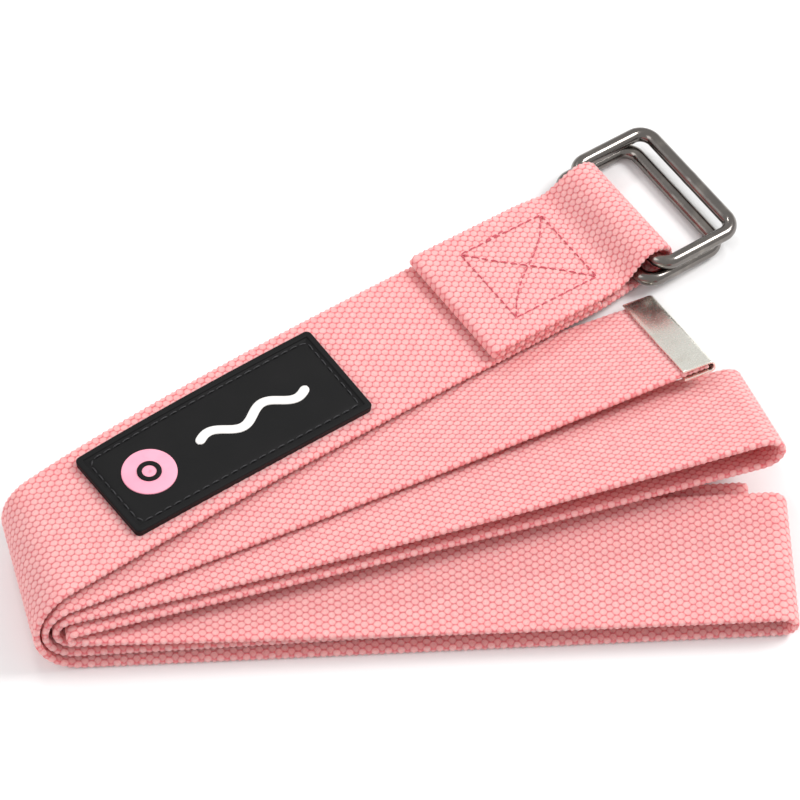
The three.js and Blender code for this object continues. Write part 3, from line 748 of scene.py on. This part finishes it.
def label_height(inwards):
    """The label's surface at a distance in from its edge."""
    rim = smooth(inwards / RIM_ROUND) ** 0.5 * RIM_ROUND - RIM_ROUND
    fall = smooth((inwards - RIM_WIDTH) / RIM_FALL)
    groove = GROOVE_DEPTH * np.exp(-(((inwards - GROOVE) / GROOVE_SPREAD) ** 2))
    return panel_top + LABEL_RIM * (1 - fall) + rim - groove


# Grid lines in from the label's edge: over its round, the border's slope and the groove.
insets = np.array([0, 0.00006, 0.00015, 0.0003, 0.0006, 0.001, 0.0014, 0.0016, 0.0017, 0.0018, 0.00188,
                   0.0021, 0.0023, 0.00245, 0.0026, 0.00275, 0.0029, 0.0031, 0.0034])


def spread(size):
    """Grid lines over a side of the label, close together where its border is."""
    reach = size / 2 - insets[-1]
    middle = np.linspace(-reach, reach, round(size / 0.0012))[1:-1]
    return np.concatenate([-size / 2 + insets, middle, size / 2 - insets[::-1]])


xs, ys = spread(LABEL_LENGTH), spread(LABEL_WIDTH)
x, y = (grid.ravel() for grid in np.meshgrid(xs, ys, indexing="ij"))
to_x, to_y = LABEL_LENGTH / 2 - np.abs(x), LABEL_WIDTH / 2 - np.abs(y)
inwards = np.minimum(to_x, to_y)
corner = (to_x < LABEL_CORNER) & (to_y < LABEL_CORNER)
a, b = LABEL_CORNER - to_x, LABEL_CORNER - to_y
pull = np.where(corner, np.maximum(a, b) / np.maximum(np.hypot(a, b), 1e-9), 1)
x = np.where(corner, np.sign(x) * (LABEL_LENGTH / 2 - LABEL_CORNER + a * pull), x)
y = np.where(corner, np.sign(y) * (LABEL_WIDTH / 2 - LABEL_CORNER + b * pull), y)
top = np.column_stack([x + label_x, y, label_height(inwards)])
rows_in, columns_in = len(xs), len(ys)
index = np.arange(rows_in * columns_in).reshape(rows_in, columns_in)
border = np.concatenate([index[:-1, 0], index[-1, :-1], index[:0:-1, -1], index[0, :0:-1]])
foot = top[border] * [1, 1, 0] + [0, 0, WEB_TOP - LABEL_SINK]
faces = grid_faces(rows_in, columns_in).tolist()
base = len(top)
for k in range(len(border)):
    after = (k + 1) % len(border)
    faces.append([border[k], base + k, base + after, border[after]])
faces.append([base + k for k in range(len(border))][::-1])

black_rubber, start = new_material("black_rubber")
grain = start.noise(6500, 2)
bloom = start.noise(90, 4).step(0.35, 0.8)
start.surface({
    "Base Color": bloom.blend(screen_colour(5, 5, 6), screen_colour(12, 11, 12)),
    "Roughness": 0.55 + 0.16 * grain,
    "Specular IOR Level": 0.22,
    "Normal": (grain + 0.5 * start.noise(1500, 2)).bump(0.00003, 0.6),
})
new_piece("rubber_label", on_top_run(np.concatenate([top, foot])), faces, black_rubber,
          "strap", ["label_base"])


def turned_mark(profile, x, steps=96):
    """A flat round mark on the label, from a profile of radius and height."""
    angle = np.arange(steps) * 2 * math.pi / steps
    points = [(x + r * math.cos(t), r * math.sin(t), z) for t in angle for r, z in profile]
    return on_top_run(points)


disc_x = LABEL_FROM_FOLD + DISC_FROM_END
disc_top = panel_top + DISC_THICK
profile = [(0.00001, disc_top)] + [(r, disc_top) for r in np.linspace(0.001, DISC_RADIUS - 0.0002, 8)]
profile += [(DISC_RADIUS - 0.00006, disc_top - 0.00005), (DISC_RADIUS, disc_top - 0.00014)]
profile += [(DISC_RADIUS + 0.00004, panel_top - MARK_SINK), (0.00001, panel_top - MARK_SINK)]
soft_pink, start = new_material("pink_rubber")
grain = start.noise(5200, 2)
patches = start.noise(140, 3).step(0.3, 0.75)
start.surface({
    "Base Color": patches.blend(screen_colour(244, 156, 178), screen_colour(250, 168, 189)),
    "Roughness": 0.48 + 0.14 * grain,
    "Normal": grain.bump(0.00002, 0.6),
})
new_piece("label_disc_mark", turned_mark(profile, disc_x), grid_faces(96, len(profile), True, True),
          soft_pink, "strap", ["label_disc"])

dot_top = disc_top + MARK_THICK
profile = [(DOT_INNER, disc_top - MARK_SINK), (DOT_INNER, dot_top - MARK_ROUND),
           (DOT_INNER + MARK_ROUND, dot_top), ((DOT_INNER + DOT_OUTER) / 2, dot_top),
           (DOT_OUTER - MARK_ROUND, dot_top), (DOT_OUTER, dot_top - MARK_ROUND),
           (DOT_OUTER, disc_top - MARK_SINK)]
new_piece("label_ring_mark", turned_mark(profile, disc_x), grid_faces(96, len(profile), True, True),
          black_rubber, "strap", ["label_dot"])

wave_steps = np.linspace(-WAVE_LENGTH / 2, WAVE_LENGTH / 2, 121)
amplitude = (WAVE_HEIGHT - WAVE_STROKE) / 2
turns = 2 * math.pi * WAVE_PERIODS / WAVE_LENGTH
across_stroke = [(-1, -MARK_SINK), (-1, MARK_THICK - MARK_ROUND), (-0.93, MARK_THICK), (0, MARK_THICK),
                 (0.93, MARK_THICK), (1, MARK_THICK - MARK_ROUND), (1, -MARK_SINK)]
points = []
for t in wave_steps:
    slope = math.atan(amplitude * turns * math.cos(turns * t))
    to_end = WAVE_LENGTH / 2 - abs(t)
    half = WAVE_STROKE / 2 * math.sqrt(max(1 - (1 - min(to_end / (WAVE_STROKE / 2), 1)) ** 2, 0.0004))
    for side_at, level in across_stroke:
        points.append((LABEL_FROM_FOLD + WAVE_CENTRE + t - side_at * half * math.sin(slope),
                       amplitude * math.sin(turns * t) + side_at * half * math.cos(slope),
                       panel_top + level))
count = len(across_stroke)
faces = grid_faces(len(wave_steps), count, False, True).tolist()
faces += [list(range(count))[::-1], [(len(wave_steps) - 1) * count + k for k in range(count)]]
white_rubber, start = new_material("white_rubber")
grain = start.noise(5200, 2)
soiling = start.noise(160, 3).step(0.3, 0.8)
start.surface({
    "Base Color": soiling.blend(screen_colour(236, 233, 230), screen_colour(222, 218, 215)),
    "Roughness": 0.45 + 0.15 * grain,
    "Normal": grain.bump(0.00002, 0.6),
})
new_piece("label_wave_mark", on_top_run(points), faces, white_rubber, "strap", ["label_wave"])

seam = rounded_rectangle(LABEL_LENGTH - 2 * GROOVE, LABEL_WIDTH - 2 * GROOVE, 0.0008, 4, 0.01)
seam = np.concatenate([seam, seam[:1]]) + [label_x, 0]
black_thread, start = new_material("black_thread")
ply = start.noise(3400, 2)
start.surface({
    "Base Color": ply.step(0.3, 0.7).blend(screen_colour(16, 16, 18), screen_colour(58, 57, 60)),
    "Roughness": 0.62,
    "Normal": ply.bump(0.00005, 0.8),
})
points, faces = stitches([seam], LABEL_STITCH, LABEL_THREAD, panel_top - 0.0001, 0.0003)
new_piece("label_seam_stitches", on_top_run(points), faces, black_thread,
          "strap", ["label_stitching"])


# ---- the studio ----
# A plain pale floor, a large soft light high on the right, a fill on the left, a narrow
# light behind that draws a streak along the wires, and a pale surround.

FLOOR_SIZE = 6.0
CAMERA_RISE = 57.46  # degrees above the floor
CAMERA_TURN = -36.0
CAMERA_AWAY = 1.1393
CAMERA_AIM = (0.0083, 0.0438)
CAMERA_LENS = 192.9

floor_mesh = bpy.data.meshes.new("studio_floor")
half_floor = FLOOR_SIZE / 2
low = cad_box[0][2]
floor_mesh.from_pydata([(-half_floor, -half_floor, low), (half_floor, -half_floor, low),
                        (half_floor, half_floor, low), (-half_floor, half_floor, low)], [], [(0, 1, 2, 3)])
floor = bpy.data.objects.new("studio_floor", floor_mesh)
bpy.context.scene.collection.objects.link(floor)
paper, start = new_material("studio_paper")
start.surface({
    "Base Color": start.noise(3, 2).blend((0.86, 0.86, 0.86, 1), (0.88, 0.88, 0.88, 1)),
    "Roughness": 0.9,
})
floor_mesh.materials.append(paper)


def aim(thing, target):
    """Turns a lamp or a camera to face a point."""
    thing.rotation_euler = (Vector(target) - Vector(thing.location)).to_track_quat("-Z", "Y").to_euler()


def soft_light(name, place, size, power, colour):
    """A square lamp that faces the middle of the strap."""
    lamp = bpy.data.lights.new(name, "AREA")
    lamp.size = size
    lamp.energy = power
    lamp.color = colour
    made = bpy.data.objects.new(name, lamp)
    made.location = place
    aim(made, (0, 0, 0))
    bpy.context.scene.collection.objects.link(made)


centre = (cad_box[0] + cad_box[1]) / 2
turn, rise = math.radians(CAMERA_TURN), math.radians(CAMERA_RISE)
back_off = Vector((math.sin(turn) * math.cos(rise), -math.cos(turn) * math.cos(rise), math.sin(rise)))
target = Vector((centre[0] + CAMERA_AIM[0], centre[1] + CAMERA_AIM[1], low))
camera = bpy.data.objects.new("camera", bpy.data.cameras.new("camera"))
camera.data.lens = CAMERA_LENS
camera.data.sensor_width = 36
camera.location = target + back_off * CAMERA_AWAY
aim(camera, target)
bpy.context.scene.collection.objects.link(camera)
bpy.context.scene.camera = camera

right = Vector((math.cos(turn), math.sin(turn), 0))
deep = Vector((-math.sin(turn), math.cos(turn), 0))
soft_light("key_light", right * 1.15 + deep * 0.45 + Vector((0, 0, 1.25)), 0.7, 22, (1, 0.99, 0.985))
soft_light("fill_light", right * -1.2 - deep * 0.6 + Vector((0, 0, 1.3)), 1.2, 10, (0.98, 0.985, 1))
soft_light("strip_light", right * -0.35 + deep * 0.9 + Vector((0, 0, 0.9)), 0.16, 2.2, (1, 1, 1))

world = bpy.data.worlds.new("studio")
world.use_nodes = True
world.node_tree.nodes["Background"].inputs["Color"].default_value = (1, 1, 1, 1)
world.node_tree.nodes["Background"].inputs["Strength"].default_value = 0.68
bpy.context.scene.world = world
bpy.context.scene.view_settings.view_transform = "Standard"
